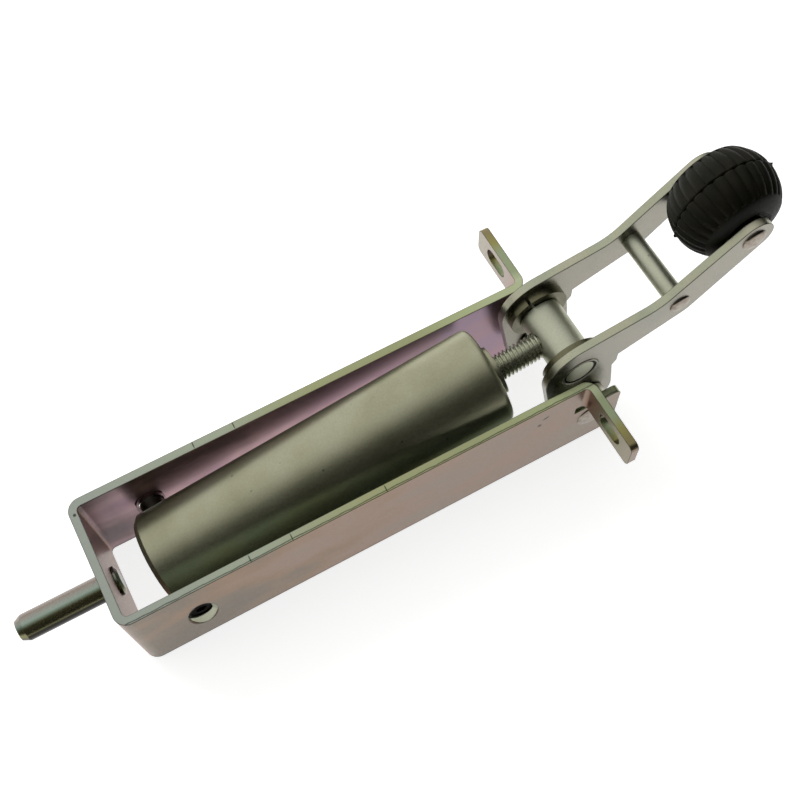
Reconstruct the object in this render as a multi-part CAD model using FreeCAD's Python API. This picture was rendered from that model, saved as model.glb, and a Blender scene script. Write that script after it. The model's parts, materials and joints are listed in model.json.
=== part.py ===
"""Door damper: a roller lever that pulls the rod out of a hydraulic cylinder in a bent bracket.

Millimetres. The origin is the root of the rear pin, at the middle of the web's outer face.
+X runs from the web to the roller, +Y to the left and +Z up.
"""
import FreeCAD
import Part
import math
import os

V = FreeCAD.Vector

# Fits, as radial or axial clearances
seat_gap = 0.03            # pressed, riveted and screwed seats
running_gap = 0.05         # journals and sliding fits
side_play = 0.25           # end faces that turn against each other
overcut = 5.0              # holes and slots are cut this far past the faces that they open

# Bracket, bent from one sheet
sheet = 2.5
bracket_width = 40.0       # over the outer faces of the walls
bracket_height = 37.0
bend_radius = 1.5          # inside radius of every bend
tab_face_x = 147.1         # front face of the mounting tabs
tab_height = 11.0
tab_span = 84.4            # over the ends of both tabs
tab_corner = 2.0
tongue_end_x = 158.0       # front end of the walls below the tabs
tongue_rise = 7.1          # top edge of the tongues above the lever's pivot
tongue_corner = 2.0
relief_depth = 3.0         # bend relief behind the tab's rear face
slot_width = 5.5
slot_length = 10.0
slot_spacing = 63.6        # between the middles of the two slots

# Rear pin
rear_pin_d = 8.0
rear_pin_length = 27.0
rear_pin_chamfer = 2.0
rear_spigot_d = 6.0        # riveted end through the web
rear_head_d = 9.0
rear_head_thickness = 1.5

# Axes of the mechanism, as (x, z)
trunnion = (20.3, -1.2)
pivot = (148.6, -3.2)
barrel = (145.8, 16.6)
stay = (177.4, 29.0)
axle = (197.6, 46.4)

# Lever, seen from the side
plate = 2.5
plate_gap = 22.4           # between the inner faces of the plates
lobe = (146.8, 16.8)       # middle of the round rear end, beside the cross barrel
hub_radius = 10.7          # around the pivot
lobe_radius = 12.3
elbow_radius = 6.9         # around the stay rod
eye_radius = 6.2           # around the roller axle
inner_bend_radius = 14.0   # upper edge of the arm at the elbow
upper_edge_slope = 7.2     # degrees, upper edge of the arm behind the elbow
lower_edge_slope = 18.4    # degrees, lower edge of the arm behind the elbow
front_edge_lean = 7.5      # degrees, the hub's front edge leans back
step_depth = 1.3           # step from the hub's front edge to the arm
step_rise = 2.1
step_height = 13.1         # height of the step above the pivot

# Lever pivot
pivot_d = 10.0
pivot_head_d = 14.0        # heads of the two stub pins, inside the plates
pivot_head = 1.6
pin_recess = 0.4           # pin ends lie this far inside the outer faces
pin_chamfer = 0.9
collar_d = 15.0

# Stay rod and roller axle
stay_d = 6.0
stay_tenon_d = 5.0
axle_d = 6.0
rivet_recess = 0.8
rivet_chamfer = 0.6
rivet_hole_chamfer = 0.5

# Cross barrel and its bushes
barrel_d = 13.0
journal_d = 10.0
journal_chamfer = 0.5
bush_d = 12.0
bush_flange_d = 18.7
bush_flange = 2.6
bush_slit = 1.0
bush_slit_angle = 115.0    # degrees from +X towards +Z

# Roller
tyre_d = 30.8              # over the ribs at the middle of the tread
tyre_width = 21.4
tread_width = 19.0
parting_groove = 0.5       # gap between the ribs of the two halves
parting_depth = 0.8
shoulder_d = 23.8          # where the tread ends
shoulder_bulge = 0.4       # rounding of the shoulders beyond a plain cone
rib_count = 28             # on each half; the halves stand half a rib apart
rib_depth = 0.45
rib_bands = 3              # straight stretches along each rib
rib_phase = 4.0            # degrees, where the first rib of the left half starts
rim_d = 18.0               # edge of the dished side face
dish_d = 13.0              # bottom of the dished side face
dish_depth = 1.6
hub_d = 10.0
hub_overhang = 0.2         # hub stands this far out of the tyre's sides

# Cylinder, along its own axis with 0 at the trunnion
cylinder_d = 30.0
cylinder_bore = 24.0
cylinder_rear = 5.4        # rear face behind the trunnion
cylinder_front = 104.6     # front face ahead of the trunnion
cylinder_base = 13.5       # thickness of the closed rear end
cylinder_chamfer = 1.5
cylinder_roll = 2.0        # rounded rim of the rolled front edge
lip = 2.0                  # rolled edge over the guide
lip_bore = 18.0
trunnion_d = 7.0
trunnion_play = 0.8        # play of the trunnion pins along the walls
trunnion_rise = 4.4        # room above and below the pins in their oval holes
trunnion_screw_d = 5.0
trunnion_screw_length = 8.0
trunnion_recess = 1.5      # pin ends lie this far inside the outer faces
trunnion_spot_d = 8.5
trunnion_spot_depth = 0.7
socket_width = 3.0         # across the flats of the hexagon socket
socket_depth = 3.0

# Guide and seals at the front of the cylinder
rod_d = 8.0
guide_length = 18.0
gland_d = 15.0
gland_length = 2.0         # collar in front of the cylinder
rod_seal_d = 14.0
rod_seal_width = 4.0
wiper_d = 12.0
wiper_width = 2.5
seal_wall = 1.8            # radial thickness of the seals in outer grooves
seal_width = 2.4
groove_margin = 3.0        # from a groove to the nearest end face

# Piston and its parts
rod_grip = 3.0             # rod reaches this far past the barrel's axis
piston_place = 45.0        # front face of the piston ahead of the trunnion
piston_width = 10.0
piston_stud_d = 6.0
nut_width = 10.0           # across the flats
nut_height = 5.0
stud_end = 0.5             # stud stands out of the nut
orifice_d = 1.6
orifice_circle = 16.0
orifice_count = 4
floating_place = 16.0      # rear face of the floating piston ahead of the trunnion
floating_width = 8.0
spring_d = 19.0            # outside
spring_wire = 1.6          # square wire
spring_turns = 6.5

# Derived places
wall_outer = bracket_width / 2
wall_inner = wall_outer - sheet
plate_inner = plate_gap / 2
plate_outer = plate_inner + plate
bottom = -bracket_height / 2
top = bracket_height / 2
tab_bottom = top - tab_height
tongue_top = pivot[1] + tongue_rise
reach = math.hypot(barrel[0] - trunnion[0], barrel[1] - trunnion[1])
tilt = math.degrees(math.atan2(barrel[1] - trunnion[1], barrel[0] - trunnion[0]))
guide_front = cylinder_front - lip
guide_rear = guide_front - guide_length
bore_start = cylinder_base - cylinder_rear
SIDES = (("left", 1), ("right", -1))

nodes = {}


def turned(profile):
    """Solid of revolution about X from (x, radius) points; a third value is a point on an arc."""
    edges = []
    for here, there in zip(profile, profile[1:] + profile[:1]):
        start = V(here[0], here[1], 0)
        end = V(there[0], there[1], 0)
        if len(there) == 3:
            mid = V(there[2][0], there[2][1], 0)
            edges.append(Part.Arc(start, mid, end).toShape())
        else:
            edges.append(Part.LineSegment(start, end).toShape())
    face = Part.Face(Part.Wire(edges))
    return face.revolve(V(0, 0, 0), V(1, 0, 0), 360)


def ring(inner_d, outer_d, start, end):
    """Plain ring or, with no inner diameter, a plain disc along X."""
    inner = inner_d / 2
    outer = outer_d / 2
    return turned([(start, inner), (start, outer), (end, outer), (end, inner)])


def across(shape, place):
    """Turn a piece made along X to lie along Y, at an (x, z) place."""
    shape.rotate(V(0, 0, 0), V(0, 0, 1), 90)
    shape.translate(V(place[0], 0, place[1]))
    return shape


def drill(diameter, place, start, end):
    """Cylinder along Y for a hole at an (x, z) place."""
    return Part.makeCylinder(diameter / 2, end - start, V(place[0], start, place[1]), V(0, 1, 0))


def oval_drill(width, height, place, start, end):
    """Elliptical prism along Y for a hole at an (x, z) place, higher than it is wide."""
    middle = V(place[0], start, place[1])
    rim = Part.Ellipse(middle + V(0, 0, height / 2), middle + V(width / 2, 0, 0), middle)
    return Part.Face(Part.Wire(rim.toShape())).extrude(V(0, end - start, 0))


def hexagon(width, height, base, axis):
    """Hexagonal prism from a point along an axis, measured across its flats."""
    corner = width / math.sqrt(3)
    points = [V(corner * math.cos(math.radians(60 * k)), corner * math.sin(math.radians(60 * k)), 0)
              for k in range(7)]
    prism = Part.Face(Part.makePolygon(points)).extrude(V(0, 0, height))
    prism.Placement = FreeCAD.Placement(base, FreeCAD.Rotation(V(0, 0, 1), axis))
    return prism


def on_cylinder_axis(shape):
    """Carry a piece from the X axis to the tilted axis of the cylinder."""
    shape.rotate(V(0, 0, 0), V(0, 1, 0), -tilt)
    shape.translate(V(trunnion[0], 0, trunnion[1]))
    return shape


def edges_at(shape, test):
    """Edges whose middle passes a test."""
    return [edge for edge in shape.Edges if test(edge.CenterOfMass)]


def close(value, target):
    return abs(value - target) < 1e-4


def offset_line(corners, distance):
    """Corners of a polyline moved sideways to its left, mitred at the turns."""
    moved = []
    for k, corner in enumerate(corners):
        before = corner - corners[k - 1] if k > 0 else corners[1] - corner
        after = corners[k + 1] - corner if k < len(corners) - 1 else before
        left = [V(-run.y, run.x, 0).normalize() for run in (before, after)]
        share = distance / (1 + left[0].dot(left[1]))
        moved.append(corner + (left[0] + left[1]) * share)
    return moved


def rounded_edges(corners, radii):
    """Lines and tangent arcs along a polyline; radii holds one radius for each inner corner."""
    edges = []
    start = corners[0]
    for before, corner, after, radius in zip(corners, corners[1:], corners[2:], radii):
        arriving = (corner - before).normalize()
        leaving = (after - corner).normalize()
        turn = arriving.getAngle(leaving)
        trim = radius * math.tan(turn / 2)
        to_middle = (leaving - arriving).normalize()
        arc_middle = corner + to_middle * (radius / math.cos(turn / 2) - radius)
        arc_start = corner - arriving * trim
        arc_end = corner + leaving * trim
        edges.append(Part.LineSegment(start, arc_start).toShape())
        edges.append(Part.Arc(arc_start, arc_middle, arc_end).toShape())
        start = arc_end
    edges.append(Part.LineSegment(start, corners[-1]).toShape())
    return edges


def bent_strip(middle_line, low, high):
    """Strip of sheet along the (x, y) corners of its middle line, from one height to another."""
    corners = [V(x, y, 0) for x, y in middle_line]
    left = offset_line(corners, sheet / 2)
    right = offset_line(corners, -sheet / 2)
    left_radii = []
    right_radii = []
    for before, corner, after in zip(corners, corners[1:], corners[2:]):
        turns_left = (corner - before).cross(after - corner).z > 0
        left_radii.append(bend_radius if turns_left else bend_radius + sheet)
        right_radii.append(bend_radius + sheet if turns_left else bend_radius)
    edges = rounded_edges(left, left_radii)
    edges.append(Part.LineSegment(left[-1], right[-1]).toShape())
    edges += rounded_edges(right[::-1], right_radii[::-1])
    edges.append(Part.LineSegment(right[0], left[0]).toShape())
    strip = Part.Face(Part.Wire(edges)).extrude(V(0, 0, high - low))
    strip.translate(V(0, 0, low))
    return strip


def make_bracket():
    """Channel with tabs bent out of the upper half of its walls."""
    wall = wall_outer - sheet / 2
    web = sheet / 2
    tab = tab_face_x - sheet / 2
    tab_end = tab_span / 2
    relief_x = tab_face_x - sheet - relief_depth

    def channel(front_x):
        return [(front_x, wall), (web, wall), (web, -wall), (front_x, -wall)]

    with_tabs = [(tab, tab_end), (tab, wall)] + channel(tab)[1:3] + [(tab, -wall), (tab, -tab_end)]
    body = bent_strip(channel(tongue_end_x), bottom, tongue_top)
    body = body.fuse(bent_strip(channel(relief_x), tongue_top, tab_bottom))
    body = body.fuse(bent_strip(with_tabs, tab_bottom, top)).removeSplitter()

    tab_tips = edges_at(body, lambda c: close(abs(c.y), tab_end) and close(c.x, tab))
    body = body.makeFillet(tab_corner, [e for e in tab_tips if abs(e.tangentAt(e.FirstParameter).x) > 0.9])
    tongue_tips = edges_at(body, lambda c: close(c.x, tongue_end_x) and close(abs(c.y), wall))
    body = body.makeFillet(tongue_corner, tongue_tips)

    slot_run = slot_length - slot_width
    slot_z = (top + tab_bottom) / 2
    slot_x = tab_face_x - sheet - overcut
    through = sheet + 2 * overcut
    for side in (1, -1):
        middle = side * slot_spacing / 2
        corner = V(slot_x, middle - slot_run / 2, slot_z - slot_width / 2)
        slot = Part.makeBox(through, slot_run, slot_width, corner)
        for end in (-slot_run / 2, slot_run / 2):
            centre = V(slot_x, middle + end, slot_z)
            slot = slot.fuse(Part.makeCylinder(slot_width / 2, through, centre, V(1, 0, 0)))
        body = body.cut(slot)
    oval_width = trunnion_d + 2 * trunnion_play
    oval_height = trunnion_d + 2 * trunnion_rise
    body = body.cut(oval_drill(oval_width, oval_height, trunnion, -bracket_width, bracket_width))
    body = body.cut(drill(pivot_d + 2 * seat_gap, pivot, -bracket_width, bracket_width))
    spigot = Part.makeCylinder(rear_spigot_d / 2 + seat_gap, through, V(-overcut, 0, 0), V(1, 0, 0))
    return body.cut(spigot)


def make_rear_pin():
    """Pin with a chamfered tip, a spigot through the web and a peened head inside."""
    radius = rear_pin_d / 2
    spigot = rear_spigot_d / 2
    head = rear_head_d / 2
    tip = -rear_pin_length
    inside = sheet + rear_head_thickness
    return turned([(tip, 0), (tip, radius - rear_pin_chamfer / 2), (tip + rear_pin_chamfer, radius),
                   (0, radius), (0, spigot), (sheet, spigot), (sheet, head),
                   (sheet + rear_head_thickness / 2, head), (inside, head - rear_head_thickness),
                   (inside, 0)])


def direction(angle):
    """Unit vector in the side view, from +X towards +Z."""
    return V(math.cos(math.radians(angle)), 0, math.sin(math.radians(angle)))


def at(place):
    return V(place[0], 0, place[1])


def tangent_angle(first, first_radius, second, second_radius, side):
    """Angle of the normal of the line that touches two circles; side 1 is left of the run, -1 right."""
    run = at(second) - at(first)
    heading = math.degrees(math.atan2(run.z, run.x))
    lean = math.degrees(math.asin((first_radius - second_radius) / run.Length))
    return heading + side * (90 - lean)


def arc_about(place, radius, start, end):
    """Arc about a place between two angles."""
    centre = at(place)
    points = [centre + direction(angle) * radius for angle in (start, (start + end) / 2, end)]
    return Part.Arc(*points).toShape()


def crossing(first, first_angle, second, second_angle):
    """Point where two lines of the side view meet, each given by a point and an angle."""
    run = direction(first_angle)
    other = direction(second_angle)
    gap = second - first
    along = (gap.x * other.z - gap.z * other.x) / (run.x * other.z - run.z * other.x)
    return first + run * along


def lever_outline():
    """Bell crank: hub and lobe joined by a tangent, then an arm with an elbow and a round eye."""
    back = tangent_angle(pivot, hub_radius, lobe, lobe_radius, 1)
    front = front_edge_lean
    upper = upper_edge_slope + 90
    tip_upper = tangent_angle(stay, elbow_radius, axle, eye_radius, 1)
    tip_lower = tangent_angle(stay, elbow_radius, axle, eye_radius, -1)
    lower = lower_edge_slope - 90

    hub_front = at(pivot) + direction(front) * hub_radius
    step_low = crossing(hub_front, front + 90, V(0, 0, pivot[1] + step_height), 0)
    step_high = step_low + V(step_depth, 0, step_rise)
    elbow_low = at(stay) + direction(lower) * elbow_radius
    step_top = crossing(step_high, 90, elbow_low, lower_edge_slope)
    eye_low = at(axle) + direction(tip_lower) * eye_radius
    elbow_low_end = at(stay) + direction(tip_lower) * elbow_radius
    eye_high = at(axle) + direction(tip_upper) * eye_radius
    lobe_high = at(lobe) + direction(upper) * lobe_radius
    elbow_high = crossing(lobe_high, upper - 90, eye_high, tip_upper - 90)

    edges = [arc_about(pivot, hub_radius, back - 360 if back > front else back, front)]
    front_edge = [hub_front, step_low, step_high, step_top, elbow_low]
    for start, end in zip(front_edge, front_edge[1:]):
        edges.append(Part.LineSegment(start, end).toShape())
    edges.append(arc_about(stay, elbow_radius, lower, tip_lower))
    edges.append(Part.LineSegment(elbow_low_end, eye_low).toShape())
    edges.append(arc_about(axle, eye_radius, tip_lower, tip_upper))
    edges += rounded_edges([eye_high, elbow_high, lobe_high], [inner_bend_radius])
    edges.append(arc_about(lobe, lobe_radius, upper, back))
    lobe_back = at(lobe) + direction(back) * lobe_radius
    hub_back = at(pivot) + direction(back) * hub_radius
    edges.append(Part.LineSegment(lobe_back, hub_back).toShape())
    return Part.Wire(Part.__sortEdges__(edges))


def countersunk_drill(diameter, place, inner, outer):
    """Hole through a plate along Y with a small chamfer at its outer face."""
    span = outer - inner
    side = math.copysign(1, span)
    hole = drill(diameter, place, min(inner, outer) - plate, max(inner, outer) + plate)
    mouth = Part.makeCone(diameter / 2, diameter / 2 + rivet_hole_chamfer, rivet_hole_chamfer,
                          V(place[0], outer - side * rivet_hole_chamfer, place[1]), V(0, side, 0))
    return hole.fuse(mouth)


def make_lever_plate(side):
    """One plate of the lever, with its four holes."""
    body = Part.Face(lever_outline()).extrude(V(0, side * plate, 0))
    body.translate(V(0, side * plate_inner, 0))
    for hole_d, gap, place in ((pivot_d, running_gap, pivot), (bush_d, seat_gap, barrel)):
        body = body.cut(drill(hole_d + 2 * gap, place, -bracket_width, bracket_width))
    for hole_d, place in ((stay_tenon_d, stay), (axle_d, axle)):
        hole = countersunk_drill(hole_d + 2 * seat_gap, place, side * plate_inner, side * plate_outer)
        body = body.cut(hole)
    return body


def mirrored_profile(half):
    """Turned profile from the half at positive places, outermost point last; both halves are alike."""
    other = [(-point[0],) + tuple(point[1:]) for point in half[::-1]]
    return half + other


def make_pivot_pin(side):
    """Stub pin through plate, collar and wall, with its head inside the plate."""
    seat = plate_inner - side_play
    start = seat - pivot_head
    end = wall_outer - pin_recess
    radius = pivot_d / 2
    head = pivot_head_d / 2
    body = turned([(start, 0), (start, head - pin_chamfer), (start + pin_chamfer, head), (seat, head),
                   (seat, radius), (end - pin_chamfer, radius), (end, radius - pin_chamfer), (end, 0)])
    body.rotate(V(0, 0, 0), V(0, 0, 1), side * 90)
    body.translate(at(pivot))
    return body


def make_pivot_collar(side):
    body = ring(pivot_d + 2 * seat_gap, collar_d, side * (plate_outer + side_play), side * wall_inner)
    return across(body, pivot)


def make_stay_rod():
    """Spacer rod with a riveted tenon in each plate."""
    end = plate_outer - rivet_recess
    tenon = stay_tenon_d / 2
    half = [(plate_inner, stay_d / 2), (plate_inner, tenon), (end - rivet_chamfer, tenon),
            (end, tenon - rivet_chamfer), (end, 0)]
    return across(turned(mirrored_profile(half)), stay)


def make_roller_axle():
    end = plate_outer - rivet_recess
    radius = axle_d / 2
    half = [(end - rivet_chamfer, radius), (end, radius - rivet_chamfer), (end, 0)]
    return across(turned(mirrored_profile(half)), axle)


def make_roller_hub():
    return across(ring(axle_d + 2 * running_gap, hub_d, -tyre_width / 2 - hub_overhang,
                       tyre_width / 2 + hub_overhang), axle)


def tread_radius(place):
    """Radius over the ribs, from the arc through the middle and both ends of the tread."""
    half_tread = tread_width / 2
    drop = (tyre_d - shoulder_d) / 2
    crown = (half_tread ** 2 + drop ** 2) / (2 * drop)
    return math.sqrt(crown ** 2 - place ** 2) + tyre_d / 2 - crown


def ribbed_ring(place, first_angle):
    """Closed wire of one arc for each rib, across X at a place along it."""
    def rim_point(angle, radius):
        return V(place, radius * math.cos(math.radians(angle)), radius * math.sin(math.radians(angle)))

    pitch = 360 / rib_count
    crest = tread_radius(place)
    arcs = []
    for k in range(rib_count):
        start = first_angle + k * pitch
        valleys = [rim_point(angle, crest - rib_depth) for angle in (start, start + pitch)]
        arcs.append(Part.Arc(valleys[0], rim_point(start + pitch / 2, crest), valleys[1]).toShape())
    return Part.Wire(arcs)


def make_roller_tyre():
    """Two rows of ribs over a core with rounded shoulders and dished side faces."""
    half_tread = tread_width / 2
    side = tyre_width / 2
    shoulder = shoulder_d / 2
    rim = rim_d / 2
    floor = side - dish_depth
    bore = hub_d / 2 + seat_gap
    core = shoulder - 2 * rib_depth
    chord = V(side - half_tread, rim - shoulder, 0)
    outward = V(-chord.y, chord.x, 0).normalize() * shoulder_bulge
    bulge = (half_tread + chord.x / 2 + outward.x, shoulder + chord.y / 2 + outward.y)
    left_end = [(half_tread, core), (half_tread, shoulder), (side, rim, bulge), (floor, dish_d / 2),
                (floor, bore)]
    right_end = [(-floor, bore), (-floor, dish_d / 2), (-side, rim),
                 (-half_tread, shoulder, (-bulge[0], bulge[1])), (-half_tread, core)]
    body = turned(left_end + right_end)
    body = body.fuse(ring(2 * bore, tyre_d - 2 * parting_depth, -parting_groove, parting_groove))
    for sign, first_angle in ((1, rib_phase), (-1, rib_phase + 180 / rib_count)):
        inner = parting_groove / 2
        run = half_tread - inner
        places = [sign * (inner + run * k / rib_bands) for k in range(rib_bands + 1)]
        ribs = Part.makeLoft([ribbed_ring(place, first_angle) for place in places], True, True)
        ribs = ribs.cut(ring(0, 2 * core - rib_depth, -tyre_width, tyre_width))
        body = body.fuse(ribs)
    return across(body.removeSplitter(), axle)


def make_barrel_bush(side):
    """Split flanged bush pressed into a lever plate, flange inwards."""
    bore = journal_d / 2 + running_gap
    face = side * (plate_inner - bush_flange)
    inner = side * plate_inner
    outer = side * plate_outer
    body = turned([(face, bore), (face, bush_flange_d / 2), (inner, bush_flange_d / 2), (inner, bush_d / 2),
                   (outer, bush_d / 2), (outer, bore)])
    body = across(body, (0, 0))
    slit = Part.makeBox(bush_flange_d, 2 * plate_outer, bush_slit, V(0, -plate_outer, -bush_slit / 2))
    slit.rotate(V(0, 0, 0), V(0, 1, 0), -bush_slit_angle)
    body = body.cut(slit)
    body.translate(at(barrel))
    return body


def make_cross_barrel():
    """Barrel with a journal at each end and a blind hole for the rod."""
    shoulder = plate_inner - bush_flange - side_play
    radius = journal_d / 2
    half = [(shoulder, barrel_d / 2), (shoulder, radius), (plate_outer - journal_chamfer, radius),
            (plate_outer, radius - journal_chamfer), (plate_outer, 0)]
    body = across(turned(mirrored_profile(half)), (0, 0))
    body.translate(V(reach, 0, 0))
    hole_start = V(reach + rod_grip - barrel_d, 0, 0)
    rod_hole = Part.makeCylinder(rod_d / 2 + seat_gap, barrel_d, hole_start, V(1, 0, 0))
    return on_cylinder_axis(body.cut(rod_hole))


def make_piston_rod():
    """Rod with a thinner stud for the piston at its rear end."""
    stud_start = piston_place - piston_width - nut_height - stud_end
    tip = reach + rod_grip
    stud = piston_stud_d / 2
    return on_cylinder_axis(turned([(stud_start, 0), (stud_start, stud), (piston_place, stud),
                                    (piston_place, rod_d / 2), (tip, rod_d / 2), (tip, 0)]))


def grooved_disc(bore_d, outer_d, start, end, groove_start):
    """Disc along X with one rectangular groove in its rim; no bore when its diameter is 0."""
    outer = outer_d / 2
    groove = outer - seal_wall
    groove_end = groove_start + seal_width
    return turned([(start, bore_d / 2), (start, outer), (groove_start, outer), (groove_start, groove),
                   (groove_end, groove), (groove_end, outer), (end, outer), (end, bore_d / 2)])


def groove_seal(inside_d, groove_start):
    """Ring that fills a groove against a bore."""
    inner_d = inside_d - 2 * running_gap - 2 * seal_wall + 2 * seat_gap
    groove_end = groove_start + seal_width
    return ring(inner_d, inside_d - 2 * seat_gap, groove_start + seat_gap, groove_end - seat_gap)


def make_cylinder_body():
    """Closed cylinder whose front edge is rolled over the guide, with seats for the trunnion pins."""
    outer = cylinder_d / 2
    bore = cylinder_bore / 2
    rear = -cylinder_rear
    roll_start = cylinder_front - cylinder_roll
    roll_rise = cylinder_roll * math.sqrt(0.5)
    roll_middle = (roll_start + roll_rise, outer - cylinder_roll + roll_rise)
    body = turned([(rear, 0), (rear, outer - cylinder_chamfer), (rear + cylinder_chamfer, outer),
                   (roll_start, outer), (cylinder_front, outer - cylinder_roll, roll_middle),
                   (cylinder_front, lip_bore / 2), (guide_front, lip_bore / 2), (guide_front, bore),
                   (bore_start, bore), (bore_start, 0)])
    seat = outer - trunnion_spot_depth
    for side in (1, -1):
        hole_ends = sorted((side * (seat - trunnion_screw_length), side * cylinder_d))
        screw = drill(trunnion_screw_d + 2 * seat_gap, (0, 0), *hole_ends)
        spot = drill(trunnion_spot_d, (0, 0), *sorted((side * seat, side * cylinder_d)))
        body = body.cut(screw.fuse(spot))
    return on_cylinder_axis(body)


def make_trunnion_pin(side):
    """Black stud in the cylinder with a hexagon socket in its free end."""
    seat = cylinder_d / 2 - trunnion_spot_depth
    end = wall_outer - trunnion_recess
    screw_end = seat - trunnion_screw_length + seat_gap
    radius = trunnion_d / 2
    screw = trunnion_screw_d / 2
    chamfer = pin_chamfer / 2
    body = turned([(screw_end, 0), (screw_end, screw), (seat, screw), (seat, radius),
                   (end - chamfer, radius), (end, radius - chamfer), (end, 0)])
    body = body.cut(hexagon(socket_width, socket_depth, V(end - socket_depth, 0, 0), V(1, 0, 0)))
    body.rotate(V(0, 0, 0), V(0, 0, 1), side * 90)
    return on_cylinder_axis(body)


def make_guide_bush():
    """Rod guide held by the rolled lip, with a collar in front and grooves for its seals."""
    outer = cylinder_bore / 2 - seat_gap
    bore = rod_d / 2 + running_gap
    front = cylinder_front + gland_length
    groove = guide_rear + groove_margin
    groove_floor = cylinder_bore / 2 - running_gap - seal_wall
    wiper_start = front - wiper_width
    seal_end = guide_rear + rod_seal_width
    return on_cylinder_axis(turned([
        (guide_rear, rod_seal_d / 2), (guide_rear, outer), (groove, outer), (groove, groove_floor),
        (groove + seal_width, groove_floor), (groove + seal_width, outer), (guide_front, outer),
        (guide_front, gland_d / 2), (front, gland_d / 2), (front, wiper_d / 2), (wiper_start, wiper_d / 2),
        (wiper_start, bore), (seal_end, bore), (seal_end, rod_seal_d / 2)]))


def make_rod_ring(outer_d, start, end):
    """Seal or wiper between the rod and the guide."""
    inner_d = rod_d + 2 * running_gap
    return on_cylinder_axis(ring(inner_d, outer_d - 2 * seat_gap, start + seat_gap, end - seat_gap))


def make_piston():
    """Grooved piston with a circle of orifices."""
    rear = piston_place - piston_width
    body = grooved_disc(piston_stud_d + 2 * seat_gap, cylinder_bore - 2 * running_gap, rear, piston_place,
                        piston_place - groove_margin - seal_width)
    for k in range(orifice_count):
        turn = math.radians(360 * k / orifice_count)
        radius = orifice_circle / 2
        base = V(rear - overcut, radius * math.cos(turn), radius * math.sin(turn))
        body = body.cut(Part.makeCylinder(orifice_d / 2, piston_width + 2 * overcut, base, V(1, 0, 0)))
    return on_cylinder_axis(body)


def make_piston_nut():
    start = piston_place - piston_width - nut_height
    body = hexagon(nut_width, nut_height, V(start, 0, 0), V(1, 0, 0))
    hole = Part.makeCylinder(piston_stud_d / 2 + seat_gap, nut_height, V(start, 0, 0), V(1, 0, 0))
    return on_cylinder_axis(body.cut(hole))


def make_floating_piston():
    start = floating_place
    return on_cylinder_axis(grooved_disc(0, cylinder_bore - 2 * running_gap, start, start + floating_width,
                                         start + groove_margin))


def make_return_spring():
    """Square wire coil between the piston and the guide."""
    radius = (spring_d - spring_wire) / 2
    length = guide_rear - piston_place - spring_wire - 2 * seat_gap
    helix = Part.makeHelix(length / spring_turns, length, radius)
    half = spring_wire / 2
    square = [V(radius + a * half, 0, b * half) for a, b in ((-1, -1), (1, -1), (1, 1), (-1, 1), (-1, -1))]
    body = Part.Wire(helix.Edges).makePipeShell([Part.makePolygon(square)], True, True)
    body.rotate(V(0, 0, 0), V(0, 1, 0), 90)
    body.translate(V(piston_place + half + seat_gap, 0, 0))
    return on_cylinder_axis(body)


nodes["bracket"] = make_bracket()
nodes["rear_pin"] = make_rear_pin()
nodes["stay_rod"] = make_stay_rod()
nodes["roller_axle"] = make_roller_axle()
nodes["roller_hub"] = make_roller_hub()
nodes["roller_tyre"] = make_roller_tyre()
nodes["cross_barrel"] = make_cross_barrel()
nodes["piston_rod"] = make_piston_rod()
nodes["piston"] = make_piston()
nodes["piston_ring"] = on_cylinder_axis(groove_seal(cylinder_bore, piston_place - groove_margin - seal_width))
nodes["piston_nut"] = make_piston_nut()
nodes["return_spring"] = make_return_spring()
nodes["cylinder_body"] = make_cylinder_body()
nodes["guide_bush"] = make_guide_bush()
nodes["guide_seal"] = on_cylinder_axis(groove_seal(cylinder_bore, guide_rear + groove_margin))
nodes["rod_seal"] = make_rod_ring(rod_seal_d, guide_rear, guide_rear + rod_seal_width)
nodes["wiper_ring"] = make_rod_ring(wiper_d, cylinder_front + gland_length - wiper_width,
                                    cylinder_front + gland_length)
nodes["floating_piston"] = make_floating_piston()
nodes["floating_seal"] = on_cylinder_axis(groove_seal(cylinder_bore, floating_place + groove_margin))
for name, side in SIDES:
    nodes["lever_plate_" + name] = make_lever_plate(side)
    nodes["barrel_bush_" + name] = make_barrel_bush(side)
    nodes["pivot_pin_" + name] = make_pivot_pin(side)
    nodes["pivot_collar_" + name] = make_pivot_collar(side)
    nodes["trunnion_pin_" + name] = make_trunnion_pin(side)

os.makedirs("parts", exist_ok=True)
for name, shape in nodes.items():
    shape.exportStep("parts/" + name + ".step")
    state = "valid" if shape.isValid() else "INVALID"
    print(name, state, len(shape.Solids), "solid", round(shape.Volume, 1), "mm3")
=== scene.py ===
# %% [markdown]
# # A door damper, dressed for the camera
# A bent channel of plated sheet carries an oil damper. A bell-crank lever with a ribbed
# rubber roller pulls its rod out when a door arrives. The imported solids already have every
# rigid piece at its place, so this lesson adds what solids lack: the moulded tyre, the cut
# thread, the finish of each metal, and the studio around them.

# %% Load the frame
import json
import math

import bpy
import numpy as np
from mathutils import Matrix, Vector


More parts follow.
